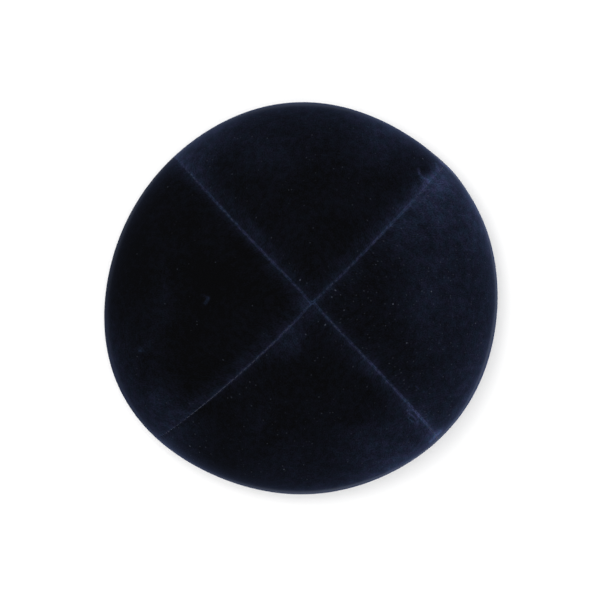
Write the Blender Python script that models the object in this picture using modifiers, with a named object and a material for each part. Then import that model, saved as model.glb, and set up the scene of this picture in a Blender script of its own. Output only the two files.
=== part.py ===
"""A kippah skullcap: four velvet gores sewn together over the crown, and a slim bound rim.

Metres, +Z up. The cap stands on its binding at z = 0 with its middle over the origin,
+X to its right side and +Y to its back. Bearings run from +X towards +Y.
"""

import math

import bmesh
import bpy
from mathutils import Vector

MM = 0.001

# Crown
RIM_WIDTH = 175 * MM        # mean width across the widest line
CROWN_HEIGHT = 57 * MM      # floor to the tip
WIDEST_HEIGHT = 9 * MM      # floor to the widest line
RIM_TUCK = 0.7 * MM         # how far the wall draws in below the widest line
LEAN_RIGHT = 4.4 * MM       # the tip lies this far right of the rim's middle
LEAN_FRONT = 0.9 * MM       # and this far in front of it
FULLNESS = 2.0              # 2 is an ellipse from the side, more is fuller
SQUARENESS = 0.02           # the gores are flatter than a ball, by this share of the radius

# Velvet and its seams
CLOTH = 1.8 * MM            # velvet with its backing
SEAM_GAP = 0.3 * MM         # between two gores along their seam
SEAM_DIP = 0.7 * MM         # depth of the groove that the stitches pull in
SEAM_DIP_WIDTH = 1.4 * MM
ALLOWANCE_RISE = 0.5 * MM   # the folded allowances lift the velvet beside a seam
ALLOWANCE_WIDTH = 5.0 * MM
RIM_FADE = 0.6              # share of that relief that dies away at the widest line

# Rim binding, a tape folded round the gores' lower edge
TAPE = 0.9 * MM             # its thickness
TAPE_HEIGHT = 4.0 * MM
TAPE_ROUNDING = 0.35 * MM
SEAT_GAP = 0.3 * MM         # between the tape and the velvet inside it

# The rim seen from above: waves round it, each a share of the mean radius
RIM_WAVES = [
    # waves, share, bearing of a crest in degrees
    (2, 0.0135, 38),
    (3, 0.0108, 88),
    (4, 0.0057, 21),
    (6, 0.0032, 29),
]

# Small corners in it, where a seam meets the rim
RIM_CORNERS = [
    # bearing and spread in degrees, share of the mean radius
    (40, 5, 0.005),
]

# Seams from above, as bearings in degrees at the rim and the tip, and the bow between them
SEAMS = [
    # right end of this gore, at the rim, at the tip, bow
    ("gore_back", 43.9, 42.2, 1.0),
    ("gore_left", 131.9, 134.6, 0.3),
    ("gore_front", 223.3, 228.2, -0.8),
    ("gore_right", 314.0, 313.8, 0.4),
]

# Soft hollows in the cloth, as shares of the rim's radius (place, reach) and height (depth)
HOLLOWS = [
    # bearing in degrees, place, reach, depth
    (40, 0.97, 0.07, 0.016),
    (316, 0.96, 0.08, 0.012),
    (2, 0.66, 0.20, 0.020),
    (98, 0.72, 0.18, 0.014),
    (205, 0.62, 0.22, 0.018),
    (262, 0.34, 0.16, 0.012),
    (290, 0.78, 0.15, 0.010),
]

# Grid of each gore, and steps round the rim
COLUMNS = 20
DOME_ROWS = 17
TUCK_ROWS = 2
HEM_ROWS = 1
RIM_STEPS = 72
WELD = 0.01 * MM            # points closer than this are one

VELVET_NAVY = (0.010, 0.013, 0.045, 1.0)
TAPE_NAVY = (0.014, 0.018, 0.050, 1.0)

HEM_EDGE = TAPE + SEAT_GAP
HEM_TOP = TAPE_HEIGHT + SEAT_GAP
ROWS = HEM_ROWS + TUCK_ROWS + DOME_ROWS


def clear_scene():
    """Remove whatever the scene holds before the cap is built."""
    for thing in list(bpy.data.objects):
        bpy.data.objects.remove(thing, do_unlink=True)


def rim_radius(bearing):
    """Radius of the widest line: the mean radius with its waves and its corners."""
    share = 1.0
    for waves, size, crest in RIM_WAVES:
        share += size * math.cos(waves * (bearing - math.radians(crest)))
    for corner, spread, size in RIM_CORNERS:
        away = math.degrees(math.remainder(bearing - math.radians(corner), math.tau))
        share += size * math.exp(-(away / spread) ** 2)
    return 0.5 * RIM_WIDTH * share


def rim_middle():
    """Middle of the box round the widest line."""
    bearings = [math.radians(degree) for degree in range(360)]
    across = [rim_radius(bearing) * math.cos(bearing) for bearing in bearings]
    along = [rim_radius(bearing) * math.sin(bearing) for bearing in bearings]
    return Vector(((min(across) + max(across)) / 2, (min(along) + max(along)) / 2, 0))


def seam_bearing(seam, reach):
    """Bearing of a seam at a share of the way from the tip to the rim."""
    _, at_rim, at_tip, bow = SEAMS[seam % len(SEAMS)]
    turns = seam // len(SEAMS)
    degrees = at_tip + (at_rim - at_tip) * reach + bow * math.sin(math.pi * reach)
    return math.radians(degrees) + turns * math.tau


def meridian(climb):
    """Radius share, height, tuck and freedom at a share of the way from the hem to the tip.

    The hem is upright inside the tape, the wall then swells to the widest line, and the dome
    over it is a superellipse. Freedom is 0 in the hem and 1 from the widest line up.
    """
    row = climb * ROWS
    if row <= HEM_ROWS:
        return 1.0, HEM_EDGE + (HEM_TOP - HEM_EDGE) * row / HEM_ROWS, RIM_TUCK, 0.0
    row -= HEM_ROWS
    if row <= TUCK_ROWS:
        swell = row / TUCK_ROWS
        height = HEM_TOP + (WIDEST_HEIGHT - HEM_TOP) * swell
        return 1.0, height, RIM_TUCK * (1 + math.cos(math.pi * swell)) / 2, swell
    turn = math.pi / 2 * (row - TUCK_ROWS) / DOME_ROWS
    reach = max(math.cos(turn), 0.0) ** (2 / FULLNESS)
    rise = math.sin(turn) ** (2 / FULLNESS)
    return reach, WIDEST_HEIGHT + (CROWN_HEIGHT - WIDEST_HEIGHT) * rise, 0.0, 1.0


def hollow_depth(bearing, reach):
    """How deep the soft hollows press the cloth in at one place, seen from above."""
    depth = 0.0
    for hollow_bearing, place, spread, share in HOLLOWS:
        turn = bearing - math.radians(hollow_bearing)
        away = reach ** 2 + place ** 2 - 2 * reach * place * math.cos(turn)
        depth += share * CROWN_HEIGHT * math.exp(-away / spread ** 2)
    return depth


def seam_relief(distance):
    """Height of the cloth at a distance from its seam: the allowances' rise less the groove."""
    rise = ALLOWANCE_RISE * math.exp(-(distance / ALLOWANCE_WIDTH) ** 4)
    dip = SEAM_DIP * math.exp(-(distance / SEAM_DIP_WIDTH) ** 2)
    return rise - dip


def gore_point(gore, across, climb):
    """Outer face of a gore: across runs 0 to 1 between its seams, climb 0 to 1 from hem to tip.

    The columns crowd towards the seams. Each side keeps half the seam gap, which turns into a
    smaller and smaller angle away from the tip, so that all columns meet in one point there.
    """
    reach, height, tuck, freedom = meridian(climb)
    start = seam_bearing(gore, reach)
    width = seam_bearing(gore + 1, reach) - start
    smallest = 0.5 * SEAM_GAP / math.sin(width / 2)
    radius = max(reach * 0.5 * RIM_WIDTH, smallest)
    inset = math.asin(0.5 * SEAM_GAP / radius)
    place = 0.5 - 0.5 * math.cos(math.pi * across)
    bearing = start + inset + (width - 2 * inset) * place

    upright = freedom * (1 - reach ** 4) * reach
    square = 1 + SQUARENESS * 4 * upright * math.cos(math.tau * place)
    spread = max(reach * rim_radius(bearing) * square, smallest) - tuck
    lean = max(height - WIDEST_HEIGHT, 0.0) / (CROWN_HEIGHT - WIDEST_HEIGHT)
    point = Vector((spread * math.cos(bearing), spread * math.sin(bearing), height))
    point += Vector((LEAN_RIGHT * lean, -LEAN_FRONT * lean, 0)) - rim_middle()

    to_seam = radius * math.sin(min(bearing - start, start + width - bearing))
    relief = seam_relief(to_seam) * (1 - RIM_FADE * reach ** 8)
    lift = freedom * (relief - hollow_depth(bearing, reach))
    outward = Vector((reach * math.cos(bearing), reach * math.sin(bearing), 0))
    outward.z = math.sqrt(max(1 - reach ** 2, 0.0))
    return point + outward * lift


def cloth_material(name, colour, roughness):
    """Plain cloth of one colour."""
    material = bpy.data.materials.new(name)
    material.use_nodes = True
    shader = material.node_tree.nodes["Principled BSDF"]
    shader.inputs["Base Color"].default_value = colour
    shader.inputs["Roughness"].default_value = roughness
    shader.inputs["Metallic"].default_value = 0.0
    material.diffuse_color = colour
    return material


def make_gore(collection, gore):
    """One velvet gore: a grid wrapped over its quarter of the crown, then thickened inwards."""
    name = SEAMS[gore][0]
    bm = bmesh.new()
    bmesh.ops.create_grid(bm, x_segments=COLUMNS, y_segments=ROWS, size=0.5)
    for vert in bm.verts:
        vert.co = gore_point(gore, vert.co.x + 0.5, vert.co.y + 0.5)
    bmesh.ops.remove_doubles(bm, verts=bm.verts, dist=WELD)
    mesh = bpy.data.meshes.new(name)
    bm.to_mesh(mesh)
    bm.free()
    mesh.materials.append(cloth_material(name + "_velvet", VELVET_NAVY, 0.9))
    mesh.shade_smooth()
    cap_piece = bpy.data.objects.new(name, mesh)
    collection.objects.link(cap_piece)
    wall = cap_piece.modifiers.new("Cloth", 'SOLIDIFY')
    wall.thickness = CLOTH
    wall.offset = -1
    wall.use_even_offset = True
    return cap_piece


def tape_section(collection):
    """Guide for the binding: the tape's cross-section, a U with rounded corners.

    X runs across from the middle of the velvet, and Y up from the floor. The points go
    clockwise, which turns the swept tape's faces outwards.
    """
    inner = CLOTH / 2 + SEAT_GAP
    outer = inner + TAPE
    corner = TAPE_ROUNDING
    one_leg = [
        (inner, TAPE),
        (inner, TAPE_HEIGHT),
        (outer - corner, TAPE_HEIGHT),
        (outer, TAPE_HEIGHT - corner),
        (outer, 2 * corner),
        (outer - 0.6 * corner, 0.6 * corner),
        (outer - 2 * corner, 0),
    ]
    other_leg = [(-x, y) for x, y in reversed(one_leg)]
    points = one_leg + other_leg
    curve = bpy.data.curves.new("tape_section", 'CURVE')
    curve.dimensions = '2D'
    spline = curve.splines.new('POLY')
    spline.points.add(len(points) - 1)
    for point, (x, y) in zip(spline.points, points):
        point.co = (x, y, 0, 1)
    spline.use_cyclic_u = True
    guide = bpy.data.objects.new("tape_section", curve)
    guide.hide_render = True
    guide.display_type = 'WIRE'
    collection.objects.link(guide)
    return guide


def make_binding(collection, section):
    """The rim binding: the tape's section carried round under the gores' lower edge."""
    middle = rim_middle()
    curve = bpy.data.curves.new("rim_binding", 'CURVE')
    curve.dimensions = '3D'
    curve.twist_mode = 'Z_UP'
    spline = curve.splines.new('POLY')
    spline.points.add(RIM_STEPS - 1)
    for step, point in enumerate(spline.points):
        bearing = math.tau * step / RIM_STEPS
        radius = rim_radius(bearing) - RIM_TUCK - CLOTH / 2
        x = radius * math.cos(bearing) - middle.x
        y = radius * math.sin(bearing) - middle.y
        point.co = (x, y, 0, 1)
    spline.use_cyclic_u = True
    curve.bevel_mode = 'OBJECT'
    curve.bevel_object = section
    curve.materials.append(cloth_material("rim_binding_tape", TAPE_NAVY, 0.75))
    binding = bpy.data.objects.new("rim_binding", curve)
    collection.objects.link(binding)
    return binding


def build_cap():
    """The whole cap: its four gores and its binding, with the guide kept apart."""
    clear_scene()
    cap = bpy.data.collections.new("kippah_skullcap")
    guides = bpy.data.collections.new("guides")
    bpy.context.scene.collection.children.link(cap)
    bpy.context.scene.collection.children.link(guides)
    for gore in range(len(SEAMS)):
        make_gore(cap, gore)
    make_binding(cap, tape_section(guides))


build_cap()
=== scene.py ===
import math

import bpy
import numpy as np
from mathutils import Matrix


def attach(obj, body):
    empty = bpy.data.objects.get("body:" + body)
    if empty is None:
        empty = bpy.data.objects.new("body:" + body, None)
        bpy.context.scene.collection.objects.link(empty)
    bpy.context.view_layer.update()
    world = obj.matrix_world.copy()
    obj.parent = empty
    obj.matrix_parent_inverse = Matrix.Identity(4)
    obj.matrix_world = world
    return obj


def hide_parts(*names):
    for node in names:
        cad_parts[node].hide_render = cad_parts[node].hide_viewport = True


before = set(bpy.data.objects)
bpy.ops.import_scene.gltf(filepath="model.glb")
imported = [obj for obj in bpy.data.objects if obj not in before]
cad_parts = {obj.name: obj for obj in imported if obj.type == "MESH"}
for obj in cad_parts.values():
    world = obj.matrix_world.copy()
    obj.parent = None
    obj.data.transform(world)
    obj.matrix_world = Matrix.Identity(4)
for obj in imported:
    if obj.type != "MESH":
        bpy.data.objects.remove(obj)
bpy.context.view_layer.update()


# Camera and light
# The cap lies on a white sheet and is seen from straight above, a metre up, with its back at
# the top. A large soft lamp stands at the upper left, and white surroundings fill the rest.
MM = 0.001
CAMERA_HEIGHT = 1.0
PIXELS_ACROSS = 600
PIXEL_AT_RIM = 0.4508 * MM
VIEW_MIDDLE = (-0.24 * MM, -0.83 * MM)
SENSOR = 36.0
WHITE = (1.0, 1.0, 1.0)
SURROUNDINGS = 1.4
LAMP_PLACE = (-0.55, 0.45, 1.15)
LAMP_SIZE = 0.9
LAMP_WATTS = 4.5
FLOOR_REACH = 3.0
FLOOR_PAPER = (0.9, 0.9, 0.9)


def plain_material(name, colour, roughness):
    """Principled material of one colour."""
    material = bpy.data.materials.new(name)
    material.use_nodes = True
    shader = material.node_tree.nodes["Principled BSDF"]
    shader.inputs["Base Color"].default_value = (*colour, 1)
    shader.inputs["Roughness"].default_value = roughness
    return material


scene = bpy.context.scene
scene.view_settings.view_transform = "Standard"

camera_data = bpy.data.cameras.new("camera")
camera_data.sensor_width = SENSOR
camera_data.lens = SENSOR * CAMERA_HEIGHT / (PIXELS_ACROSS * PIXEL_AT_RIM)
camera = bpy.data.objects.new("camera", camera_data)
camera.location = (*VIEW_MIDDLE, CAMERA_HEIGHT)
scene.collection.objects.link(camera)
scene.camera = camera

world = bpy.data.worlds.new("white_surroundings")
world.use_nodes = True
world.node_tree.nodes["Background"].inputs["Color"].default_value = (*WHITE, 1)
world.node_tree.nodes["Background"].inputs["Strength"].default_value = SURROUNDINGS
scene.world = world

lamp_data = bpy.data.lights.new("soft_lamp", "AREA")
lamp_data.shape = "DISK"
lamp_data.size = LAMP_SIZE
lamp_data.energy = LAMP_WATTS
lamp = bpy.data.objects.new("soft_lamp", lamp_data)
lamp.location = LAMP_PLACE
lamp.rotation_euler = (-lamp.location).to_track_quat("-Z", "Y").to_euler()
scene.collection.objects.link(lamp)

floor_mesh = bpy.data.meshes.new("floor")
floor_mesh.from_pydata(
    [(x * FLOOR_REACH, y * FLOOR_REACH, 0) for x, y in ((-1, -1), (1, -1), (1, 1), (-1, 1))],
    [],
    [(0, 1, 2, 3)],
)
floor_mesh.materials.append(plain_material("white_paper", FLOOR_PAPER, 0.9))
floor = bpy.data.objects.new("floor", floor_mesh)
scene.collection.objects.link(floor)


# The four gores
# Each gore is a triangle of cotton-backed velvet with bowed sides. Its seam allowances are
# pressed open inside, and they lift the pile beside the seam. Together the four make a dome
# that leans a little, as it was put down. The velvet's colour is lighter in patches and has
# painted sheen on its slopes, rim and seams, and painted shade in a few hollows.
RIM_WIDTH = 175 * MM
WIDEST_HEIGHT = 9 * MM
CROWN_HEIGHT = 57 * MM
RIM_TUCK = 0.7 * MM
LEAN_RIGHT = 4.75 * MM
LEAN_FRONT = 1.0 * MM
SQUARENESS = 0.02
TAPE = 0.9 * MM
TAPE_HEIGHT = 4.0 * MM
SEAT_GAP = 0.3 * MM
HEM_EDGE = TAPE + SEAT_GAP
HEM_TOP = TAPE_HEIGHT + SEAT_GAP

VELVET = 1.2 * MM             # the cloth by itself
HEM_CLOTH = 1.8 * MM          # where it is turned in under the tape
ALLOWANCE = 6.0 * MM          # width of the cloth folded back beside a seam
ALLOWANCE_CLOTH = 0.8 * MM
ALLOWANCE_RISE = 0.35 * MM
ALLOWANCE_CUT_WANDERS = 0.5 * MM
PLATEAU_INSET = 1.2 * MM      # from the allowance's cut edge to where its plateau is half as high
PLATEAU_SLOPE = 0.8 * MM
SEAM_ROLL = 0.45 * MM         # radius of the pile's edge where it rolls into the seam
SEAM_HALF_GAP = 0.02 * MM
STITCH = 2.5 * MM             # from one stitch to the next
STITCH_PULL = 0.15 * MM
PULL_REACH = 1.4 * MM
RIPPLE = 0.10 * MM            # height of the uneven puckering beside a seam
RIPPLE_REACH = 5 * MM
RIM_FADE = 14                 # power of the radius share with which all lifts fade at the rim
TIP_GAP = 0.56 * MM           # the side gores' tips stop this far from the middle
TIP_BEARING = 203.5           # degrees, where the left gore's tip lies from there
TIP_SPREAD = 5.0 * MM
RIM_WAVES = [
    # waves, share of the mean radius, bearing of a crest in degrees
    (2, 0.0135, 38),
    (3, 0.0108, 88),
    (4, 0.0057, 21),
    (6, 0.0032, 29),
]
RIM_CORNERS = [
    # bearing and spread in degrees, share of the mean radius
    (40, 5, 0.005),
]
GORES = [
    # name, its right seam's bearing at the rim, at the tip and bow in degrees, that seam's
    # side at the tip (1 towards the left gore, -1 towards the right one)
    ("gore_back", 43.9, 42.2, 1.0, -1),
    ("gore_left", 131.9, 134.6, 0.3, 1),
    ("gore_front", 223.3, 228.2, -0.8, 1),
    ("gore_right", 314.0, 313.8, 0.4, -1),
]
HOLLOWS = [
    # bearing in degrees, place and reach as shares of the rim's radius, depth as one of height
    (40, 0.97, 0.07, 0.016),
    (316, 0.96, 0.08, 0.012),
    (2, 0.66, 0.20, 0.020),
    (98, 0.72, 0.18, 0.014),
    (205, 0.62, 0.22, 0.018),
    (262, 0.34, 0.16, 0.012),
    (290, 0.78, 0.15, 0.010),
]
CREASES = [
    # from bearing and place, to bearing and place, width and height in mm, how much lighter the
    # crease makes the pile: opened pile with painted highlight, painted shade where below zero
    (50.0, 0.829, 48.9, 0.809, 0.5, 0.25, 0.10),
    (48.9, 0.809, 47.1, 0.800, 0.5, 0.30, 0.14),
    (47.1, 0.800, 45.2, 0.809, 0.6, 0.35, 0.24),
    (46.6, 0.852, 48.0, 0.850, 2.0, -0.60, -0.06),
    (46.4, 0.922, 44.3, 0.888, 0.6, 0.25, 0.14),
    (45.1, 0.957, 43.5, 0.966, 0.8, 0.20, 0.16),
    (45.6, 0.958, 42.1, 0.973, 0.9, 0.15, 0.26),
    (42.1, 0.973, 38.5, 0.990, 0.8, 0.15, 0.20),
    (312.2, 0.693, 314.0, 0.713, 0.40, 0.20, 0.14),
    (314.0, 0.713, 314.0, 0.790, 0.45, 0.20, 0.14),
    (311.9, 0.710, 312.6, 0.742, 0.35, 0.20, 0.16),
    (312.6, 0.742, 312.5, 0.778, 0.35, 0.18, 0.15),
    (310.6, 0.726, 310.9, 0.755, 0.35, 0.20, 0.15),
    (310.9, 0.755, 312.1, 0.783, 0.35, 0.18, 0.15),
    (310.0, 0.748, 309.2, 0.775, 0.35, 0.15, 0.07),
    (312.0, 0.931, 316.0, 0.932, 1.20, 0.15, 0.29),
    (321.6, 0.643, 321.4, 0.676, 0.30, 0.05, 0.07),
    (321.8, 0.690, 322.7, 0.710, 0.30, 0.05, 0.09),
    (177.8, 0.523, 180.6, 0.536, 0.60, 0.05, 0.11),
    (177.3, 0.529, 175.9, 0.553, 0.60, 0.05, 0.04),
    (196.5, 0.856, 196.2, 0.847, 0.70, 0.05, 0.07),
    (196.2, 0.847, 194.9, 0.815, 1.30, 0.05, 0.035),
]
PILES = [
    # for each gore: a painted tone, lighter or darker by how its pile faces the light, the
    # strength of its sheen, the share of it with dust
    (0.006, 0.38, 0.09),
    (0.000, 0.19, 0.03),
    (0.005, 0.34, 0.14),
    (0.010, 0.48, 0.34),
]
SEAM_PILE_AND_SHEEN = [
    # for each gore's right seam: place; pile brushed up, with painted sheen where the cloth tilts,
    # over the allowance and close to the seam, on the gore's own side and on the other; pile
    # parted at the seam
    [(0.0, 0.010, 0.03, 0.020, 0.03, 0.08), (0.12, 0.010, 0.11, 0.008, 0.09, 0.08),
     (0.26, 0.022, 0.05, 0.013, 0.04, 0.10), (0.42, 0.030, 0.06, 0.0, 0.04, 0.19),
     (0.58, 0.008, 0.20, 0.020, 0.10, 0.16), (0.72, 0.012, 0.26, 0.040, 0.12, 0.08),
     (0.85, 0.035, 0.30, 0.040, 0.12, 0.04), (0.94, 0.030, 0.14, 0.05, 0.08, 0.0)],
    [(0.0, 0.055, 0.02, 0.010, 0.02, 0.10), (0.12, 0.025, 0.06, 0.010, 0.07, 0.13),
     (0.26, 0.005, 0.12, 0.015, 0.09, 0.12), (0.42, 0.0, 0.10, 0.046, 0.02, 0.14),
     (0.58, 0.0, 0.09, 0.024, 0.04, 0.13), (0.72, 0.0, 0.08, 0.022, 0.09, 0.10),
     (0.85, 0.0, 0.05, 0.010, 0.14, 0.07), (0.94, 0.0, 0.05, 0.030, 0.12, 0.04)],
    [(0.0, 0.036, 0.02, 0.048, 0.02, 0.10), (0.12, 0.036, 0.02, 0.018, 0.07, 0.13),
     (0.26, 0.014, 0.08, 0.030, 0.06, 0.13), (0.42, 0.0, 0.04, 0.020, 0.08, 0.08),
     (0.58, 0.0, 0.03, 0.018, 0.06, 0.09), (0.72, 0.0, -0.02, 0.040, 0.02, 0.04),
     (0.85, 0.010, -0.04, 0.018, 0.05, 0.03), (0.94, 0.016, -0.05, 0.030, 0.10, 0.04)],
    [(0.0, 0.012, 0.02, 0.012, 0.02, 0.10), (0.12, 0.0, 0.07, 0.012, 0.05, 0.15),
     (0.26, 0.0, 0.09, 0.016, 0.11, 0.08), (0.42, 0.0, 0.11, 0.034, 0.12, 0.19),
     (0.58, 0.008, 0.06, 0.018, 0.14, 0.14), (0.72, 0.008, 0.13, 0.006, 0.18, 0.26),
     (0.85, 0.020, 0.24, 0.060, 0.21, 0.18), (0.94, 0.020, 0.12, 0.020, 0.17, 0.14)],
]
SEAM_PILE_AND_SHEEN_REACH = 1.5 * MM
PILE_AND_SHEEN_PLATEAU_INSET = 0.2 * MM
PILE_AND_SHEEN_PLATEAU_SLOPE = 0.9 * MM
PUCKER = 0.35                 # share by which the stitches vary the fringe beside a seam
PUCKER_REACH = 1.2 * MM
PARTED_REACH = 3 * MM
TONE_PATCHES = [
    # bearing in degrees, place, spread outwards and across as shares of the radius, how much
    # lighter the velvet's colour is there, darker where below zero
    (37.0, 0.57, 0.11, 0.10, 0.060),
    (38.5, 0.76, 0.09, 0.12, 0.110),
    (37.0, 0.91, 0.05, 0.10, 0.060),
    (41.5, 0.845, 0.05, 0.06, 0.190),
    (43.0, 0.920, 0.03, 0.05, 0.060),
    (243, 0.22, 0.08, 0.06, 0.050),
    (311, 0.71, 0.07, 0.06, 0.040),
    (314, 0.93, 0.03, 0.04, 0.180),
    (104, 0.78, 0.10, 0.14, 0.025),
    (65, 0.86, 0.10, 0.14, 0.025),
    (221, 0.85, 0.08, 0.10, 0.040),
    (214, 0.85, 0.08, 0.08, 0.040),
    (247, 0.63, 0.16, 0.05, 0.015),
    (129, 0.88, 0.08, 0.08, 0.070),
    (119, 0.91, 0.06, 0.08, 0.035),
    (349, 0.60, 0.10, 0.16, 0.025),
    (0, 0.81, 0.06, 0.12, 0.022),
    (322, 0.74, 0.10, 0.10, 0.020),
    (10, 0.62, 0.14, 0.22, 0.045),
    (292, 0.76, 0.09, 0.16, 0.045),
    (301, 0.92, 0.06, 0.12, 0.030),
    (142, 0.40, 0.08, 0.05, -0.010),
    (180, 0.75, 0.05, 0.20, 0.016),
    (182, 0.50, 0.10, 0.20, -0.007),
    (262, 0.85, 0.12, 0.16, 0.022),
]
RIM_SHEEN_BANDS = [
    # bearing and spread in degrees, reach inwards as a share of the radius, painted sheen where
    # the rim slopes steeply
    (90, 35, 0.12, 0.055),
    (122, 12, 0.06, 0.11),
    (64, 10, 0.10, 0.13),
    (0, 40, 0.20, 0.085),
    (26, 12, 0.14, 0.23),
    (332, 16, 0.12, 0.17),
    (303, 13, 0.11, 0.32),
    (283, 14, 0.10, 0.08),
    (225, 10, 0.10, 0.05),
    (208, 16, 0.12, 0.06),
    (195, 12, 0.10, 0.03),
    (270, 14, 0.04, 0.06),
]
RIM_SHEEN_LINE = [
    # bearing in degrees, place as a share of the radius, a narrow line of painted sheen there
    # (painted shade where below zero), share of that line painted as pale sheen on pile seen edge on
    (0, 0.984, 0.0, 0.33),
    (30, 0.976, -0.04, 0.22),
    (37, 0.976, -0.03, 0.30),
    (42, 0.978, 0.0, 0.50),
    (47, 0.976, 0.0, 0.36),
    (52, 0.982, -0.04, 0.10),
    (60, 0.984, -0.06, 0.10),
    (90, 0.988, 0.0, 0.17),
    (120, 0.990, -0.14, 0.05),
    (150, 0.993, 0.0, 0.14),
    (180, 0.994, 0.02, 0.045),
    (210, 0.982, 0.05, 0.04),
    (240, 0.988, -0.04, 0.07),
    (270, 0.988, 0.0, 0.37),
    (300, 0.974, 0.0, 0.35),
    (330, 0.964, -0.02, 0.32),
    (360, 0.984, 0.0, 0.33),
]
RIM_SHEEN_LINE_WIDTH = 0.008
COLUMNS = 208
ALLOWANCE_COLUMNS = 34        # of them, over the cloth folded back at each side
ALLOWANCE_SHARE = 0.42        # of a gore's width, the most that they take up near the tip
SEAM_CROWDING = 1.4           # power that crowds these columns towards the seam
FOLD_CROWDING = 1.5           # power that crowds the others towards the allowance
ROWS = 208
HEM_SHARE = 0.03              # of the rows
TUCK_SHARE = 0.05
CLIMB_STEPS = 2001            # that the length of the way up is summed over
INNER_MAP = 300.0             # mm on the cloth map from the pile's face to the backing's
FAR_FROM_SEAM = 10.0          # mm


def rim_radius(bearing):
    """Radius of the widest line: the mean radius with its waves and corners added."""
    share = np.ones_like(bearing)
    for waves, size, crest in RIM_WAVES:
        share += size * np.cos(waves * (bearing - math.radians(crest)))
    for corner, spread, size in RIM_CORNERS:
        share += size * np.exp(-(degrees_from(bearing, corner) / spread) ** 2)
    return 0.5 * RIM_WIDTH * share


def degrees_from(bearing, degrees):
    """Signed angle in degrees from a stated bearing, the short way round."""
    turn = bearing - math.radians(degrees)
    return np.degrees(np.arctan2(np.sin(turn), np.cos(turn)))


def rim_middle():
    """Middle of the box round the widest line, which is over the origin."""
    bearing = np.radians(np.arange(360))
    across = rim_radius(bearing) * np.cos(bearing)
    along = rim_radius(bearing) * np.sin(bearing)
    return np.array([(across.min() + across.max()) / 2, (along.min() + along.max()) / 2, 0])


def seam_bearing(seam, reach):
    """Bearing of a seam at a share of the radius: from the tip's to the rim's, and a bow."""
    _, at_rim, at_tip, bow, _ = GORES[seam % len(GORES)]
    degrees = at_tip + (at_rim - at_tip) * reach + bow * np.sin(np.pi * reach)
    return np.radians(degrees) + seam // len(GORES) * math.tau


def meridian(climb):
    """Radius share, height, tuck and freedom at a share of the way from the hem to the tip.

    The hem is upright in the tape, a half cosine swells from it to the widest line, and over
    that stands an ellipse. Freedom is 0 in the hem and 1 from the widest line up.
    """
    hem = np.clip(climb / HEM_SHARE, 0, 1)
    swell = np.clip((climb - HEM_SHARE) / TUCK_SHARE, 0, 1)
    turn = np.clip((climb - HEM_SHARE - TUCK_SHARE) / (1 - HEM_SHARE - TUCK_SHARE), 0, 1)
    height = HEM_EDGE + (HEM_TOP - HEM_EDGE) * hem + (WIDEST_HEIGHT - HEM_TOP) * swell
    height = height + (CROWN_HEIGHT - WIDEST_HEIGHT) * np.sin(turn * np.pi / 2)
    tuck = RIM_TUCK * (1 + np.cos(np.pi * swell)) / 2
    return np.clip(np.cos(turn * np.pi / 2), 0, 1), height, tuck, swell


def climb_length(climb):
    """Length of the way up the wall, from the hem to each climb."""
    steps = np.linspace(0, 1, CLIMB_STEPS)
    reach, height, _, _ = meridian(steps)
    run = np.hypot(np.diff(reach * RIM_WIDTH / 2), np.diff(height))
    return np.interp(climb, steps, np.concatenate([[0], np.cumsum(run)]))


def crown_point(bearing, place, climb, tips):
    """Smooth crown: the meridian turned round the rim's outline.

    It is pulled in between the seams, where place is 0.5, leans with height and is moved so
    that the rim's middle is over the origin. Tips says how far each side's seam is moved to
    one side near the middle, where the four gores don't quite meet in one point.
    """
    reach, height, tuck, freedom = meridian(climb)
    upright = freedom * (1 - reach ** 4) * reach
    spread = reach * rim_radius(bearing) * (
        1 + SQUARENESS * 4 * upright * np.cos(math.tau * place)
    ) - tuck
    lean = np.clip(height - WIDEST_HEIGHT, 0, None) / (CROWN_HEIGHT - WIDEST_HEIGHT)
    tip = TIP_GAP * (tips[0] * (1 - place) + tips[1] * place)
    tip = tip * np.exp(-(reach * RIM_WIDTH / 2 / TIP_SPREAD) ** 2)
    x = spread * np.cos(bearing) + LEAN_RIGHT * lean + tip * math.cos(math.radians(TIP_BEARING))
    y = spread * np.sin(bearing) - LEAN_FRONT * lean + tip * math.sin(math.radians(TIP_BEARING))
    return np.stack([x, y, height + 0 * bearing], axis=-1) - rim_middle()


def outward(points):
    """Unit normals of a grid of points, from the cross product of its two directions."""
    across = np.gradient(points, axis=1)
    up = np.gradient(points, axis=0)
    normal = np.cross(across, up)
    length = np.linalg.norm(normal, axis=-1, keepdims=True)
    normal = normal / np.maximum(length, 1e-12)
    normal[length[..., 0] < 1e-12] = (0, 0, 1)
    return normal


def hollow_depth(bearing, reach):
    """Sum of the soft hollows: each is a bell round its place, seen from above."""
    depth = np.zeros_like(bearing)
    for hollow_bearing, place, spread, share in HOLLOWS:
        turn = bearing - math.radians(hollow_bearing)
        away = reach ** 2 + place ** 2 - 2 * reach * place * np.cos(turn)
        depth += share * CROWN_HEIGHT * np.exp(-away / spread ** 2)
    return depth


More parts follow.
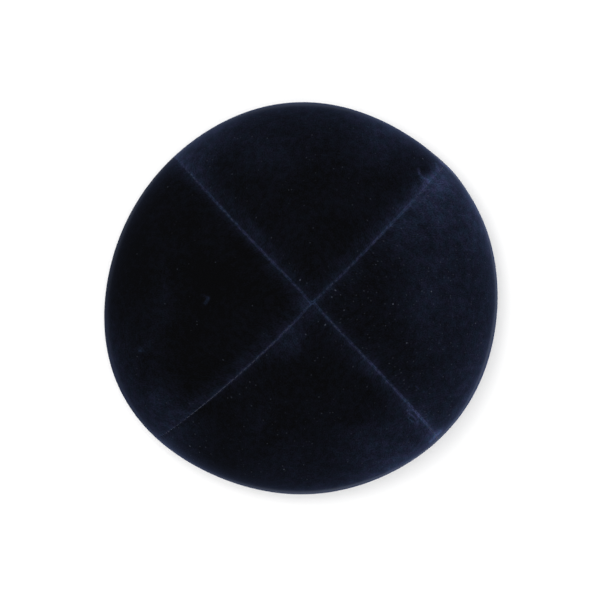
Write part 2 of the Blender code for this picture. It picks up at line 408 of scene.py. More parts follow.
def crease_shapes(bearing, reach):
    """Height of the small creases, and how much lighter they make the pile: partly opened pile,
    partly painted highlight on the crests, and painted shade in a hollow.

    Each is a bell round the stretch between its two ends, seen from above in millimetres.
    """
    radius = RIM_WIDTH / 2 / MM
    x = radius * reach * np.cos(bearing)
    y = radius * reach * np.sin(bearing)
    height = np.zeros_like(x)
    # pile: opened pile with painted highlight along each crease, painted shade in the sunken one.
    pile = np.zeros_like(x)
    for start_bearing, start, end_bearing, end, width, rise, pile_and_highlight in CREASES:
        start_x = radius * start * math.cos(math.radians(start_bearing))
        start_y = radius * start * math.sin(math.radians(start_bearing))
        run_x = radius * end * math.cos(math.radians(end_bearing)) - start_x
        run_y = radius * end * math.sin(math.radians(end_bearing)) - start_y
        share = ((x - start_x) * run_x + (y - start_y) * run_y) / (run_x ** 2 + run_y ** 2)
        share = np.clip(share, 0, 1)
        away = np.hypot(x - start_x - share * run_x, y - start_y - share * run_y)
        bell = np.exp(-(away / width) ** 2)
        height += rise * MM * bell
        pile += pile_and_highlight * bell
    return height, pile


def seam_lift(distance, along, seam):
    """Height of the pile at a distance from its seam and a length along it.

    The allowance's plateau is a logistic step that fades out at its cut edge, which wanders a
    little. The pile's edge rolls down in a quarter circle, each stitch pulls it in with a
    cosine wave, and an uneven sine wave puckers it. Both waves fade from the seam in a bell.
    """
    wander = np.sin(along / (7.3 * MM) + 2.1 * seam) * np.sin(along / (3.1 * MM))
    cut_edge = ALLOWANCE - PLATEAU_INSET + ALLOWANCE_CUT_WANDERS * wander
    plateau = 1 / (1 + np.exp((distance - cut_edge) / PLATEAU_SLOPE))
    inside = np.clip(1 - distance / SEAM_ROLL, 0, 1)
    roll = SEAM_ROLL * (1 - np.sqrt(1 - inside ** 2))
    pull = STITCH_PULL * (1 + np.cos(math.tau * along / STITCH)) / 2
    pull = pull * np.exp(-(distance / PULL_REACH) ** 2)
    ripple = RIPPLE * np.sin(along / (2.3 * MM) + 5 * np.sin(along / (19 * MM) + seam))
    ripple = ripple * np.exp(-(distance / RIPPLE_REACH) ** 2)
    return ALLOWANCE_RISE * plateau - roll - pull + ripple


def pile_and_sheen_shares(gore, bearing, reach, along, to_right, to_left):
    """How far the pile is brushed up, with painted sheen and shade added, 0 to 1, how far it is
    parted at a seam, and its painted pale sheen.

    The sum is the gore's painted tone for how its pile faces the light; a logistic plateau over
    each seam allowance and a fringe that fades from the seam exponentially and is drawn into
    puckers by the stitches, both brushed pile with painted sheen where the cloth tilts; oval
    bells as lighter and darker patches; and bands and a narrow line of painted sheen at the
    rim, with painted shade where the line is below zero. The pale sheen follows that line.
    """
    # The gore's painted tone, for how its pile faces the light, starts the sum.
    pile_and_sheen = PILES[gore][0] + 0 * bearing
    parted = 0 * bearing
    # Beside each seam: brushed pile, with painted sheen where the cloth tilts over the allowance and
    # rolls into the seam, and the parted line.
    for seam, side, distance in ((gore, 1, to_right), ((gore + 1) % len(GORES), 3, to_left)):
        rows = np.array(SEAM_PILE_AND_SHEEN[seam])
        plateau, fringe, line = (
            np.interp(reach, rows[:, 0], rows[:, column]) for column in (side, side + 1, 5)
        )
        cut_edge = ALLOWANCE - PILE_AND_SHEEN_PLATEAU_INSET
        pile_and_sheen += plateau / (1 + np.exp((distance - cut_edge) / PILE_AND_SHEEN_PLATEAU_SLOPE))
        stitched = np.cos(math.tau * along / STITCH) * np.exp(-distance / PUCKER_REACH)
        pucker = 1 + PUCKER * stitched
        pile_and_sheen += fringe * pucker * np.exp(-distance / SEAM_PILE_AND_SHEEN_REACH)
        parted += line * (distance < PARTED_REACH)
    # Oval patches where the velvet's colour is lighter, darker where the size is below zero.
    for middle, place, spread_out, spread_across, size in TONE_PATCHES:
        turn = np.radians(degrees_from(bearing, middle))
        off_along = (reach * np.cos(turn) - place) / spread_out
        off_across = reach * np.sin(turn) / spread_across
        pile_and_sheen += size * np.exp(-off_along ** 2 - off_across ** 2)
    # Painted sheen in bands along the steep rim.
    for middle, spread, inwards, size in RIM_SHEEN_BANDS:
        near = np.exp(-(degrees_from(bearing, middle) / spread) ** 2)
        pile_and_sheen += size * near * np.exp(-(1 - reach) / inwards)
    # A narrow line of painted sheen just inside the rim, painted shade where it is below zero.
    rows = np.array(RIM_SHEEN_LINE)
    line_place, line, pale_sheen = (
        np.interp(np.degrees(bearing) % 360, rows[:, 0], rows[:, column]) for column in (1, 2, 3)
    )
    near = np.exp(-((reach - line_place) / RIM_SHEEN_LINE_WIDTH) ** 2)
    return pile_and_sheen + line * near, parted, pale_sheen * near


def add_node(tree, kind, **sockets):
    """Shader node whose sockets, named with _ for a space, take a value or a link."""
    node = tree.nodes.new("ShaderNode" + kind)
    for name, value in sockets.items():
        join(tree, value, node.inputs[name.replace("_", " ")])
    return node


def join(tree, value, socket):
    """Links an output to a socket, or sets the socket to a number."""
    if isinstance(value, bpy.types.NodeSocket):
        tree.links.new(value, socket)
    else:
        socket.default_value = value


def maths(tree, operation, *values):
    """Output of a Math node."""
    node = tree.nodes.new("ShaderNodeMath")
    node.operation = operation
    for value, socket in zip(values, node.inputs):
        join(tree, value, socket)
    return node.outputs[0]


def blend_colours(tree, share, first, second):
    """Colour between two: the first at share 0, the second at 1."""
    node = tree.nodes.new("ShaderNodeMix")
    node.data_type = "RGBA"
    for value, socket in zip((share, first, second), (node.inputs[0], node.inputs[6], node.inputs[7])):
        join(tree, value if not isinstance(value, tuple) else (*value, 1), socket)
    return node.outputs[2]


def step_between(tree, value, low, high, at_low=0.0, at_high=1.0):
    """Smooth step from one level to another as a value goes from low to high."""
    node = add_node(
        tree, "MapRange", Value=value, From_Min=low, From_Max=high, To_Min=at_low, To_Max=at_high
    )
    node.interpolation_type = "SMOOTHSTEP"
    return node.outputs[0]


def stretched(tree, vector, scale):
    """Coordinates multiplied by a scale in each direction."""
    return add_node(tree, "Mapping", Vector=vector, Scale=scale).outputs[0]


def noise(tree, vector, scale, detail=2.0):
    """Soft random value, 0 to 1, mostly between 0.3 and 0.7."""
    return add_node(tree, "TexNoise", Vector=vector, Scale=scale, Detail=detail).outputs[0]


def speckles(tree, coordinates, each, share, radius):
    """Round specks on nothing: so many cells a unit, the share of cells that hold one, and its
    radius as a share of a cell. Most are faint, as their strength is a fifth power of chance.
    """
    cells = tree.nodes.new("ShaderNodeTexVoronoi")
    cells.voronoi_dimensions = "2D"
    join(tree, coordinates, cells.inputs["Vector"])
    cells.inputs["Scale"].default_value = each
    chance = add_node(tree, "SeparateColor", Color=cells.outputs["Color"]).outputs
    spot = step_between(tree, cells.outputs["Distance"], radius, 0.5 * radius)
    spot = maths(tree, "MULTIPLY", spot, step_between(tree, chance[0], 1 - share, 1.01 - share))
    return maths(tree, "MULTIPLY", spot, maths(tree, "POWER", chance[1], 5.0))


def named_value(tree, name):
    """Output of an attribute of the mesh, as a number."""
    node = tree.nodes.new("ShaderNodeAttribute")
    node.attribute_name = name
    return node.outputs["Fac"]


def make_velvet(gore):
    """Navy velvet: near black where the pile stands, blue where it is brushed up and where sheen
    is painted into its colour.

    A mesh attribute says where: brushed-up pile, painted sheen on the slopes, rim and seams,
    and painted shade in a few spots. Tufts, brushed streaks and cloudy mottling multiply it by
    1 give or take a share, then add a little where the pile stands. The parted pile beside a
    stitched seam is lighter, with a bead at each stitch. At the rim, where the pile is seen
    edge on, a pale sheen is painted in, and dust and specks of lint lie on it. The cloth map
    and the seam attributes are in millimetres. Each gore's pile leans its own way, so each has
    its own strength of sheen and its own painted tone.
    """
    _, sheen, dust = PILES[gore]
    deep = (0.0017, 0.0017, 0.0019)
    violet = (0.041, 0.047, 0.118)
    teal = (0.029, 0.052, 0.110)
    fluff = (0.040, 0.045, 0.060)
    # Colour of the painted pale sheen on pile seen edge on at the rim.
    tips = (0.070, 0.077, 0.092)
    material = plain_material(GORES[gore][0] + "_navy_velvet", deep, 0.95)
    tree = material.node_tree
    cloth = add_node(tree, "UVMap").outputs[0]
    cloth.node.uv_map = "cloth"
    place = add_node(tree, "TexCoord").outputs["Object"]
    # Share of brushed-up pile, painted sheen and painted shade, from the mesh.
    pile_and_sheen = named_value(tree, "pile_and_sheen")
    seam = named_value(tree, "seam_distance")
    along = named_value(tree, "seam_along")

    # grains in a millimetre of the cloth map, or in a metre of the object's own place
    tufts = noise(tree, stretched(tree, cloth, (1.0, 0.6, 1.0)), 2.0)
    clumps = noise(tree, stretched(tree, cloth, (1.0, 0.8, 1.0)), 0.40, 3.0)
    streaks = noise(tree, stretched(tree, cloth, (1.0, 0.18, 1.0)), 0.9)
    mottle = noise(tree, place, 210.0, 3.0)
    clouds = noise(tree, place, 55.0, 3.0)
    # lift carries the painted sheen and shade along with the brushed pile, from deep navy to blue.
    lift = maths(tree, "MULTIPLY", pile_and_sheen, step_between(tree, mottle, 0.3, 0.7, 0.75, 1.25))
    lift = maths(tree, "MULTIPLY", lift, step_between(tree, streaks, 0.3, 0.7, 0.92, 1.08))
    lift = maths(tree, "MULTIPLY", lift, step_between(tree, clumps, 0.3, 0.7, 0.82, 1.18))
    lift = maths(tree, "MULTIPLY", lift, step_between(tree, tufts, 0.3, 0.7, 0.55, 1.45))
    lift = maths(tree, "ADD", lift, step_between(tree, clouds, 0.35, 0.65, -0.002, 0.008))
    lift = maths(tree, "ADD", lift, step_between(tree, clumps, 0.3, 0.7, -0.006, 0.008))
    lift = maths(tree, "ADD", lift, step_between(tree, tufts, 0.3, 0.75, -0.004, 0.006))

    bead = maths(tree, "SINE", maths(tree, "MULTIPLY", along, math.tau * MM / STITCH))
    bead = step_between(tree, bead, -1, 1, 0.8, 1.2)
    bead = maths(tree, "MULTIPLY", bead, step_between(tree, clumps, 0.3, 0.7, 0.4, 1.6))
    near_seam = step_between(tree, seam, 0.75, 0.20)
    near_seam = maths(tree, "MULTIPLY", near_seam, named_value(tree, "parted"))
    lift = maths(tree, "ADD", lift, maths(tree, "MULTIPLY", near_seam, bead))

    hue = noise(tree, place, 330.0, 3.0)
    bright = blend_colours(tree, step_between(tree, hue, 0.35, 0.65), violet, teal)
    colour = blend_colours(tree, lift, deep, bright)
    # Painted pale sheen, mixed in where the rim's pile is seen edge on.
    slanting = add_node(tree, "LayerWeight", Blend=0.5).outputs["Facing"]
    pale_sheen = maths(tree, "MULTIPLY", named_value(tree, "pale_sheen"), step_between(tree, slanting, 0.3, 0.6))
    colour = blend_colours(tree, pale_sheen, colour, tips)
    dusty = maths(tree, "MULTIPLY", speckles(tree, cloth, 0.75, dust, 0.28), 0.34)
    dusty = maths(tree, "ADD", dusty, step_between(tree, tufts, 0.3, 0.75, 0.0, 0.012))
    dusty = maths(tree, "ADD", dusty, speckles(tree, cloth, 0.35, 0.3 * dust, 0.15))
    colour = blend_colours(tree, dusty, colour, fluff)

    height = maths(tree, "ADD", tufts, maths(tree, "MULTIPLY", mottle, 0.6))
    bump = add_node(tree, "Bump", Strength=0.4, Distance=0.25 * MM, Height=height)
    shader = tree.nodes["Principled BSDF"]
    join(tree, colour, shader.inputs["Base Color"])
    join(tree, bump.outputs[0], shader.inputs["Normal"])
    shader.inputs["Sheen Weight"].default_value = sheen
    shader.inputs["Sheen Roughness"].default_value = 0.32
    shader.inputs["Sheen Tint"].default_value = (0.145, 0.200, 0.405, 1)
    shader.inputs["Specular IOR Level"].default_value = 0.0
    return material


def woven_height(tree, coordinates, pitch):
    """Height of a plain weave with a pitch in the coordinates' units, 0 to 1."""
    parts = add_node(tree, "SeparateXYZ", Vector=coordinates)
    warp = maths(tree, "SINE", maths(tree, "MULTIPLY", parts.outputs[0], math.pi / pitch))
    weft = maths(tree, "SINE", maths(tree, "MULTIPLY", parts.outputs[1], math.pi / pitch))
    crossed = maths(tree, "MULTIPLY", warp, weft)
    return maths(tree, "MULTIPLY_ADD", crossed, 0.5, 0.5)


def make_backing():
    """The velvet's wrong side: a plain cotton weave, dull navy, with slubs, faint streaks and
    painted shade in the dips of the weave.
    """
    # Colour painted in the dips of the weave, as shade.
    shaded_dip = (0.010, 0.012, 0.026)
    light = (0.030, 0.036, 0.070)
    thread_pitch = 0.42
    material = plain_material("velvet_backing", shaded_dip, 0.85)
    tree = material.node_tree
    cloth = add_node(tree, "UVMap").outputs[0]
    cloth.node.uv_map = "cloth"
    weave = woven_height(tree, cloth, thread_pitch)
    warp_slub = noise(tree, stretched(tree, cloth, (2.2, 0.07, 1.0)), 1.0)
    weft_slub = noise(tree, stretched(tree, cloth, (0.07, 2.2, 1.0)), 1.0)
    slub = maths(tree, "MAXIMUM", warp_slub, weft_slub)
    # Weave relief: darker where it dips, as painted shade, and lighter along slubs.
    relief_shade = maths(tree, "MULTIPLY", weave, step_between(tree, slub, 0.4, 0.75, 0.35, 1.0))
    shader = tree.nodes["Principled BSDF"]
    join(tree, blend_colours(tree, relief_shade, shaded_dip, light), shader.inputs["Base Color"])
    height = maths(tree, "MULTIPLY_ADD", slub, 0.5, weave)
    bump = add_node(tree, "Bump", Strength=0.6, Distance=0.12 * MM, Height=height)
    join(tree, bump.outputs[0], shader.inputs["Normal"])
    shader.inputs["Specular IOR Level"].default_value = 0.15
    return material


def make_piece(name, points, faces, materials, face_materials):
    """Mesh object at the origin from an array of points and a list of faces."""
    mesh = bpy.data.meshes.new(name)
    mesh.from_pydata(points.tolist(), [], faces)
    for material in materials:
        mesh.materials.append(material)
    mesh.polygons.foreach_set("material_index", face_materials)
    mesh.shade_smooth()
    piece = bpy.data.objects.new(name, mesh)
    scene.collection.objects.link(piece)
    return piece


def add_value(mesh, name, values):
    """Attribute with a number for each point."""
    attribute = mesh.attributes.new(name, "FLOAT", "POINT")
    attribute.data.foreach_set("value", values.astype(np.float32).ravel())


def add_map(mesh, name, places):
    """UV map with the place of each point, given once for all faces that share it."""
    corners = np.zeros(len(mesh.loops), dtype=np.int32)
    mesh.loops.foreach_get("vertex_index", corners)
    layer = mesh.uv_layers.new(name=name)
    layer.data.foreach_set("uv", places[corners].astype(np.float32).ravel())


backing = make_backing()


def make_gore(gore):
    """One gore as a closed shell: the pile's face, the backing's face and the edges between.

    Columns run up the gore, crowded by a power law towards its seams and the cut edges of its
    allowances. The pile's face is the smooth crown moved along its normals by the seams' lift
    and the creases, less the hollows. The backing's lies a wall inside the crown, and two
    layers inside where the allowance is folded back.
    """
    name = GORES[gore][0]
    tips = (GORES[gore][4], GORES[(gore + 1) % len(GORES)][4])
    climb = np.linspace(0, 1, ROWS + 1)[:, None]
    reach, _, _, freedom = meridian(climb)
    start = seam_bearing(gore, reach)
    width = seam_bearing(gore + 1, reach) - start
    radius = np.maximum(reach * RIM_WIDTH / 2, SEAM_HALF_GAP / math.sin(math.pi / 4))
    column = np.arange(COLUMNS + 1)
    from_edge = np.minimum(column, COLUMNS - column)[None, :]
    cut_edge = np.minimum(np.arcsin(np.minimum(ALLOWANCE / radius, 1)) / width, ALLOWANCE_SHARE)
    folded = cut_edge * np.clip(from_edge / ALLOWANCE_COLUMNS, 0, 1) ** SEAM_CROWDING
    beyond = np.clip(from_edge - ALLOWANCE_COLUMNS, 0, None) / (COLUMNS / 2 - ALLOWANCE_COLUMNS)
    place = folded + (0.5 - cut_edge) * beyond ** FOLD_CROWDING
    place = np.where(column < COLUMNS / 2, place, 1 - place)
    inset = np.arcsin(np.minimum(SEAM_HALF_GAP / radius, 1))
    bearing = start + inset + (width - 2 * inset) * place
    reach = reach + 0 * bearing
    smooth = crown_point(bearing, place, climb, tips)
    normal = outward(smooth)

    along = climb_length(climb) + 0 * bearing
    to_right = radius * np.sin(np.minimum(bearing - start, np.pi / 2))
    to_left = radius * np.sin(np.minimum(start + width - bearing, np.pi / 2))
    nearest = np.minimum(to_right, to_left)
    lift = np.where(
        to_right < to_left,
        seam_lift(to_right, along, gore),
        seam_lift(to_left, along, (gore + 1) % len(GORES)),
    )
    creases, creased_pile_and_highlight = crease_shapes(bearing, reach)
    hollows = hollow_depth(bearing, reach)
    lift = (lift + creases - hollows) * (1 - 0.95 * reach ** RIM_FADE)
    pile = smooth + normal * (freedom * lift)[..., None]

    wall = VELVET + ALLOWANCE_CLOTH * (from_edge <= ALLOWANCE_COLUMNS)
    wall = wall * freedom + HEM_CLOTH * (1 - freedom)
    inner = smooth - normal * (freedom * hollows + wall)[..., None]

    rows, columns = pile.shape[:2]
    count = rows * columns
    index = np.arange(count).reshape(rows, columns)
    if tips[0] == tips[1]:
        index[-1, :] = index[-1, 0]
    a, b, c, d = index[:-1, :-1], index[:-1, 1:], index[1:, 1:], index[1:, :-1]
    outer_faces = np.stack([a, b, c, d], axis=-1).reshape(-1, 4)
    inner_faces = outer_faces[:, ::-1] + count
    loop = np.concatenate([index[0, :], index[1:, -1], index[-1, -2:0:-1], index[-1:0:-1, 0]])
    loop = loop[np.concatenate([[True], np.diff(loop) != 0])]
    after = np.roll(loop, -1)
    edge_faces = np.stack([loop, loop + count, after + count, after], axis=-1)
    quads = np.concatenate([outer_faces, inner_faces, edge_faces])
    faces = [list(dict.fromkeys(quad)) for quad in quads.tolist()]
    backing_shows = np.minimum(from_edge[:, :-1], from_edge[:, 1:]) > ALLOWANCE_COLUMNS
    kinds = np.concatenate([
        np.zeros(len(outer_faces), dtype=np.int32),
        np.repeat(backing_shows, rows - 1, axis=0).ravel().astype(np.int32),
        np.zeros(len(edge_faces), dtype=np.int32),
    ])
    points = np.concatenate([pile.reshape(-1, 3), inner.reshape(-1, 3)])
    piece = make_piece(name + "_velvet", points, faces, [make_velvet(gore), backing], kinds)

    # Brushed pile with painted sheen and shade, parted pile, and painted pale sheen at the rim.
    pile_and_sheen, parted, pale_sheen = pile_and_sheen_shares(gore, bearing, reach, along, to_right, to_left)
    pile_and_sheen += creased_pile_and_highlight
    # The inside keeps only the gore's painted tone.
    inner_painted_tone = np.full(count, PILES[gore][0])
    add_value(piece.data, "pile_and_sheen", np.concatenate([pile_and_sheen.ravel(), inner_painted_tone]))
    far = np.full(count, FAR_FROM_SEAM)
    add_value(piece.data, "seam_distance", np.concatenate([nearest.ravel() / MM, far]))
    add_value(piece.data, "seam_along", np.tile(along.ravel() / MM, 2))
    add_value(piece.data, "parted", np.concatenate([parted.ravel(), np.zeros(count)]))
    # Where pale sheen is painted at the rim.
    add_value(piece.data, "pale_sheen", np.concatenate([pale_sheen.ravel(), np.zeros(count)]))
    cut_across = radius * (bearing - start - width / 2) / MM
    cut_up = along / MM
    cut = np.stack([cut_across.ravel(), cut_up.ravel()], axis=-1)
    add_map(piece.data, "cloth", np.concatenate([cut, cut + INNER_MAP]))
    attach(piece, "root")
    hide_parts(name)


for gore in range(len(GORES)):
    make_gore(gore)


# Seam stitches
# The gores are sewn together with lock stitches of dull blue polyester, 2.5 mm long. The
# parted pile leaves each stitch showing in its seam as a fine light thread.
THREAD = 0.19 * MM            # radius, as it shows between the piles
STITCH_SHOWS = 0.92           # share of a stitch's length that isn't hidden in its hole
THREAD_SINKS = 0.17 * MM      # how far its ends go down into the cloth
RIM_SINK = 0.25 * MM          # how much deeper the seam lies near the rim
THREAD_LIES = ALLOWANCE_RISE - SEAM_ROLL - 0.02 * MM     # over the smooth crown
FIRST_STITCH = 0.8 * MM       # above the hem
SEAM_LEAVES = 0.6 * MM        # between the last stitch and the tip
THREAD_TWIST = 9.0            # turns of its plies in a millimetre
STITCH_THINS = 0.35           # share of its radius that it loses at its ends
STITCH_RINGS = 7
STITCH_SIDES = 6
PATH_STEPS = 4001             # points that a seam or a row of stitches is worked out at
PATH_POINTS = 2000            # evenly spaced points that a seam's path keeps


def make_thread():
    """Dull polyester thread: two plies twisted together, which show as slanting light bands,
    with painted shade in the groove between them.
    """
    # Colour painted in the groove between the plies, as shade.
    shaded_dip = (0.0105, 0.0124, 0.0215)
    light = (0.0240, 0.0282, 0.0465)
    material = plain_material("seam_thread", light, 0.6)
    tree = material.node_tree
    wound = add_node(tree, "UVMap").outputs[0]
    wound.node.uv_map = "thread"
    parts = add_node(tree, "SeparateXYZ", Vector=wound)
    turns = maths(tree, "MULTIPLY_ADD", parts.outputs[0], THREAD_TWIST, parts.outputs[1])
    ply = maths(tree, "SINE", maths(tree, "MULTIPLY", turns, math.tau))
    ply = maths(tree, "MULTIPLY_ADD", ply, 0.5, 0.5)
    fuzz = noise(tree, add_node(tree, "TexCoord").outputs["Object"], 900.0)
    # Ply relief: darker in the groove between the plies, as painted shade.
    relief_shade = maths(tree, "MULTIPLY", ply, step_between(tree, fuzz, 0.3, 0.7, 0.2, 1.2))
    shader = tree.nodes["Principled BSDF"]
    join(tree, blend_colours(tree, relief_shade, shaded_dip, light), shader.inputs["Base Color"])
    bump = add_node(tree, "Bump", Strength=0.5, Distance=0.05 * MM, Height=ply)
    join(tree, bump.outputs[0], shader.inputs["Normal"])
    shader.inputs["Specular IOR Level"].default_value = 0.15
    return material


thread = make_thread()


def seam_path(seam):
    """Points evenly spaced up a seam on the smooth crown, with the crown's normals there.

    They lie deeper by a power of the radius share, so only near the rim.
    """
    steps = np.linspace(HEM_SHARE, 1, PATH_STEPS)
    reach, _, _, _ = meridian(steps)
    side = GORES[seam][4]
    bearing = seam_bearing(seam, reach)[:, None] + np.array([-0.01, 0, 0.01])[None, :]
    grid = crown_point(bearing, 0.0 * bearing, steps[:, None], (side, side))
    normals = outward(grid)[:, 1]
    path = grid[:, 1] - normals * (RIM_SINK * reach ** RIM_FADE)[:, None]
    run = np.concatenate([[0], np.cumsum(np.linalg.norm(np.diff(path, axis=0), axis=1))])
    even = np.linspace(0, run[-1], PATH_POINTS)
    points = np.stack([np.interp(even, run, path[:, axis]) for axis in range(3)], axis=-1)
    normals = np.stack([np.interp(even, run, normals[:, axis]) for axis in range(3)], axis=-1)
    return points, normals, run[-1]


def stitches_along(points, normals, length, first, pitch, shows, thickness, raised, sinks):
    """Stitches as short round bars laid end to end along a path.

    Each bar is a ring carried along its share of the path. It arches, so that it is raised in
    the middle and its ends sink by a fourth power, and it thins towards them.
    """
    starts = np.arange(first, length - pitch * shows, pitch)
    share = np.linspace(0, 1, STITCH_RINGS)
    reached = starts[:, None] + share[None, :] * pitch * shows
    known = np.linspace(0, length, len(points))
    centre = np.stack([np.interp(reached, known, points[:, axis]) for axis in range(3)], axis=-1)
    normal = np.stack([np.interp(reached, known, normals[:, axis]) for axis in range(3)], axis=-1)
    normal /= np.linalg.norm(normal, axis=-1, keepdims=True)
    tangent = np.gradient(centre, axis=1)
    tangent /= np.linalg.norm(tangent, axis=-1, keepdims=True)
    side = np.cross(tangent, normal)
    bow = (2 * share - 1) ** 4
    centre = centre + normal * (raised - sinks * bow)[None, :, None]
    radius = (thickness * (1 - STITCH_THINS * bow))[None, :, None, None]
    turn = np.linspace(0, math.tau, STITCH_SIDES, endpoint=False)[None, None, :, None]
    ring = centre[:, :, None] + radius * (
        normal[:, :, None] * np.cos(turn) + side[:, :, None] * np.sin(turn)
    )
    stitches = len(starts)
    index = np.arange(stitches * STITCH_RINGS * STITCH_SIDES)
    index = index.reshape(stitches, STITCH_RINGS, STITCH_SIDES)
    a, b = index[:, :-1], index[:, 1:]
    quads = np.stack([a, b, np.roll(b, -1, axis=2), np.roll(a, -1, axis=2)], axis=-1)
    faces = quads.reshape(-1, 4).tolist()
    faces += index[:, 0].tolist() + index[:, -1, ::-1].tolist()
    wound = np.stack(np.broadcast_arrays(reached[:, :, None] / MM, turn[..., 0] / math.tau), axis=-1)
    return ring.reshape(-1, 3), faces, wound.reshape(-1, 2)


def join_parts(parts):
    """One list of points, faces and map places from several, with the faces renumbered."""
    points = np.concatenate([part[0] for part in parts])
    places = np.concatenate([part[2] for part in parts])
    faces = []
    before = 0
    for part_points, part_faces, _ in parts:
        faces += [[corner + before for corner in face] for face in part_faces]
        before += len(part_points)
    return points, faces, places


seams = []
for seam in range(len(GORES)):
    seam_points, seam_normals, seam_length = seam_path(seam)
    seams.append(stitches_along(
        seam_points, seam_normals, seam_length - SEAM_LEAVES, FIRST_STITCH, STITCH,
        STITCH_SHOWS, THREAD, THREAD_LIES, THREAD_SINKS,
    ))
stitch_points, stitch_faces, stitch_places = join_parts(seams)
seam_stitches = make_piece(
    "seam_stitches", stitch_points, stitch_faces, [thread], [0] * len(stitch_faces)
)
add_map(seam_stitches.data, "thread", stitch_places)
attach(seam_stitches, "root")


# Rim binding
# A double-folded bias tape of fine navy cotton is folded round the gores' lower edge and sewn
# through from outside with one row of stitches, which pull small dimples into it.
TAPE_ROUNDING = 0.6 * MM      # of its fold, at its middle layer
TAPE_MIDDLE = HEM_CLOTH / 2 + SEAT_GAP + TAPE / 2
TAPE_BULGE = 0.10 * MM        # its face stands out between the fold and the stitches
BINDING_STITCH = 3.0 * MM
BINDING_STITCH_HEIGHT = 2.9 * MM
DIMPLE = 0.13 * MM
DIMPLE_REACH = 0.55 * MM
FOLD_WORN = (0.3 * MM, 0.5 * MM)     # height and spread of the wear on the fold
EDGE_WORN = 0.3 * MM          # spread of the wear on the tape's upper edges
TAPE_LEGS = 18                # steps along half of the tape's section
TAPE_ENDS = 4                 # steps round each of its folded edges
ROUND = 1080                  # steps round the rim


def make_tape():
    """Bias tape: a fine plain weave at 45 degrees with painted shade where it dips, its threads
    uneven, worn lighter on the fold.
    """
    # Colour painted in the dips of the weave, as shade.
    shaded_dip = (0.0045, 0.0055, 0.011)
    light = (0.014, 0.018, 0.038)
    worn = (0.020, 0.025, 0.048)
    thread_pitch = 0.34
    material = plain_material("navy_bias_tape", light, 0.8)
    tree = material.node_tree
    laid = add_node(tree, "UVMap").outputs[0]
    laid.node.uv_map = "tape"
    bias = add_node(tree, "Mapping", Vector=laid, Rotation=(0, 0, math.pi / 4)).outputs[0]
    weave = woven_height(tree, bias, thread_pitch)
    slub = maths(
        tree, "MAXIMUM",
        noise(tree, stretched(tree, bias, (2.5, 0.1, 1.0)), 1.0),
        noise(tree, stretched(tree, bias, (0.1, 2.5, 1.0)), 1.0),
    )
    # Weave relief: darker where it dips, as painted shade, and lighter along slubs.
    relief_shade = maths(tree, "MULTIPLY", weave, step_between(tree, slub, 0.4, 0.75, 0.4, 1.0))
    colour = blend_colours(tree, relief_shade, shaded_dip, light)
    rubbed = maths(
        tree, "MULTIPLY",
        named_value(tree, "fold"),
        step_between(tree, noise(tree, stretched(tree, laid, (0.25, 1.0, 1.0)), 1.0), 0.42, 0.7),
    )
    shader = tree.nodes["Principled BSDF"]
    join(tree, blend_colours(tree, rubbed, colour, worn), shader.inputs["Base Color"])
    height = maths(tree, "MULTIPLY_ADD", slub, 0.5, weave)
    bump = add_node(tree, "Bump", Strength=0.6, Distance=0.10 * MM, Height=height)
    join(tree, bump.outputs[0], shader.inputs["Normal"])
    shader.inputs["Sheen Weight"].default_value = 0.15
    shader.inputs["Sheen Roughness"].default_value = 0.5
    shader.inputs["Sheen Tint"].default_value = (0.10, 0.13, 0.24, 1)
    shader.inputs["Specular IOR Level"].default_value = 0.1
    return material


tape = make_tape()


def tape_section():
    """Closed section of the folded tape, inner edge to outer edge and back inside.

    Its middle layer is a U of two upright legs, two quarter circles and a flat bottom. Half
    its thickness is laid off on each side, and half circles round its two edges. Columns are
    the place across from the hem's middle, the height, the normal across and up, and the
    length along the tape.
    """
    low = TAPE / 2
    top = TAPE_HEIGHT - TAPE / 2
    leg = top - low - TAPE_ROUNDING
    arc = TAPE_ROUNDING * math.pi / 2
    flat = TAPE_MIDDLE - TAPE_ROUNDING
    half = np.linspace(0, leg + arc + flat, TAPE_LEGS + 1)
    bend = np.clip((half - leg) / TAPE_ROUNDING, 0, math.pi / 2)
    across = flat + TAPE_ROUNDING * np.cos(bend) - np.clip(half - leg - arc, 0, None)
    height = top - np.clip(half, 0, leg) - TAPE_ROUNDING * np.sin(bend)
    out = np.concatenate([across, -across[-2::-1]])
    up = np.concatenate([height, height[-2::-1]])
    out_normal = np.concatenate([np.cos(bend), -np.cos(bend[-2::-1])])
    up_normal = np.concatenate([-np.sin(bend), -np.sin(bend[-2::-1])])
    length = np.concatenate([half, 2 * half[-1] - half[-2::-1]])
    turn = np.linspace(0, math.pi, TAPE_ENDS + 2)[1:-1]
    end = TAPE / 2
    outer = np.stack([out + end * out_normal, up + end * up_normal, out_normal, up_normal, length])
    inner = np.stack([out - end * out_normal, up - end * up_normal, -out_normal, -up_normal, -length])
    rows = [
        outer,
        np.stack([
            -TAPE_MIDDLE - end * np.cos(turn), top + end * np.sin(turn),
            -np.cos(turn), np.sin(turn), length[-1] + end * turn,
        ]),
        inner[:, ::-1],
        np.stack([
            TAPE_MIDDLE - end * np.cos(turn), top + end * np.sin(turn),
            -np.cos(turn), np.sin(turn), -end * (math.pi - turn),
        ]),
    ]
    return np.concatenate(rows, axis=1)


def hem_circle(bearing, across):
    """Points round the rim at a distance outwards from the middle of the hem's cloth."""
    radius = rim_radius(bearing) - RIM_TUCK - HEM_CLOTH / 2 + across
    middle = rim_middle()
    x = radius * np.cos(bearing) - middle[0]
    y = radius * np.sin(bearing) - middle[1]
    return x, y


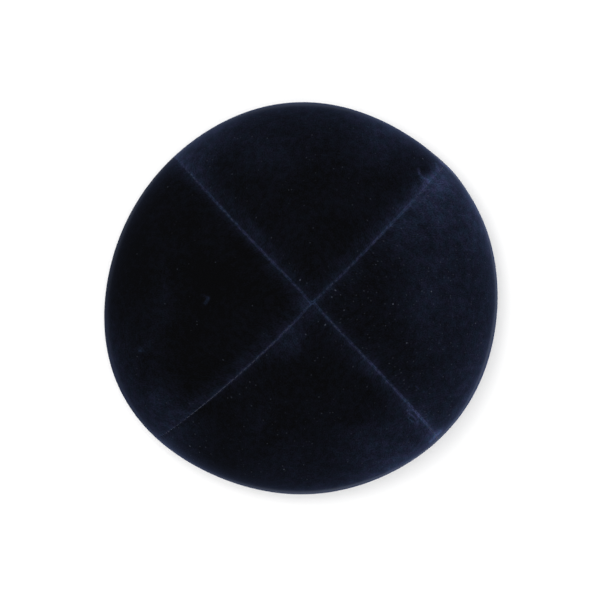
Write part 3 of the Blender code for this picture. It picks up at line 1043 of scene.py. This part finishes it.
def make_binding():
    """The tape's section carried round the rim, with a bulge below the stitches and dimples.

    The bulge is half a sine wave up the face, and the dimples a cosine wave along it in a bell
    round the row of stitches. It gives back the stitches' pitch, a whole number round the rim.
    """
    out, up, out_normal, up_normal, length = tape_section()
    bearing = np.linspace(0, math.tau, ROUND, endpoint=False)[:, None]
    x, y = hem_circle(bearing, 0.0)
    step = np.hypot(np.diff(x[:, 0], append=x[0, 0]), np.diff(y[:, 0], append=y[0, 0]))
    along = (np.cumsum(step) - step[0])[:, None]
    pitch = step.sum() / round(step.sum() / BINDING_STITCH)
    hole = (1 + np.cos(math.tau * along / pitch)) / 2
    at_row = np.exp(-((up - BINDING_STITCH_HEIGHT) / DIMPLE_REACH) ** 2)[None, :]
    faces_out = (np.abs(out) > TAPE_MIDDLE)[None, :] & (up > TAPE)[None, :]
    bulge = TAPE_BULGE * np.sin(np.clip(up / BINDING_STITCH_HEIGHT, 0, 1) * np.pi)[None, :]
    bulge = bulge * (0.7 + 0.3 * np.sin(along / (4.7 * MM)) * np.sin(along / (11 * MM)))
    shift = np.where(faces_out, bulge - DIMPLE * at_row * (0.4 + 0.6 * hole), 0.0)
    across = out[None, :] + shift * out_normal[None, :]
    x, y = hem_circle(bearing, across)
    z = up[None, :] + shift * up_normal[None, :]
    points = np.stack([x, y, z], axis=-1)
    rows, columns = z.shape
    index = np.arange(rows * columns).reshape(rows, columns)
    a, b = index, np.roll(index, -1, axis=0)
    quads = np.stack([a, b, np.roll(b, -1, axis=1), np.roll(a, -1, axis=1)], axis=-1)
    quads = quads.reshape(-1, 4)
    piece = make_piece(
        "rim_binding_tape", points.reshape(-1, 3), quads.tolist(), [tape], [0] * len(quads)
    )
    places = np.stack([(along + 0 * z) / MM, (length[None, :] + 0 * z) / MM], axis=-1)
    add_map(piece.data, "tape", places.reshape(-1, 2))
    at_fold = np.exp(-((up - FOLD_WORN[0]) / FOLD_WORN[1]) ** 2)
    at_fold = at_fold + np.exp(-((up - TAPE_HEIGHT) / EDGE_WORN) ** 2)
    add_value(piece.data, "fold", np.clip(at_fold, 0, 1)[None, :] + 0 * z)
    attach(piece, "root")
    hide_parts("rim_binding")
    return pitch


binding_pitch = make_binding()


# Binding stitches
# The same dull blue thread, in lock stitches 3 mm long, shows as one row outside the binding
# and one inside, a little over 1 mm below its edge.
ROW_SINKS = 0.15 * MM         # the stitches' middles, into the dimpled tape
ROW_START = 0.08              # share of a stitch


def binding_row(side):
    """Path of one row of stitches on the tape's outer (side 1) or inner (side -1) face."""
    bearing = np.linspace(0, math.tau, PATH_STEPS)
    x, y = hem_circle(bearing, side * (TAPE_MIDDLE + TAPE / 2))
    points = np.stack([x, y, np.full_like(x, BINDING_STITCH_HEIGHT)], axis=-1)
    tangent = np.gradient(points, axis=0)
    normal = np.stack([tangent[:, 1], -tangent[:, 0], 0 * x], axis=-1) * side
    normal /= np.linalg.norm(normal, axis=1, keepdims=True)
    length = np.linalg.norm(np.diff(points, axis=0), axis=1).sum()
    return points, normal, length


rows = []
for side in (1, -1):
    row_points, row_normals, row_length = binding_row(side)
    row_pitch = row_length / round(row_length / binding_pitch)
    rows.append(stitches_along(
        row_points, row_normals, row_length + 0.5 * row_pitch, ROW_START * row_pitch, row_pitch,
        STITCH_SHOWS, THREAD, -ROW_SINKS, THREAD_SINKS,
    ))
row_points, row_faces, row_places = join_parts(rows)
binding_stitches = make_piece(
    "binding_stitches", row_points, row_faces, [thread], [0] * len(row_faces)
)
add_map(binding_stitches.data, "thread", row_places)
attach(binding_stitches, "root")
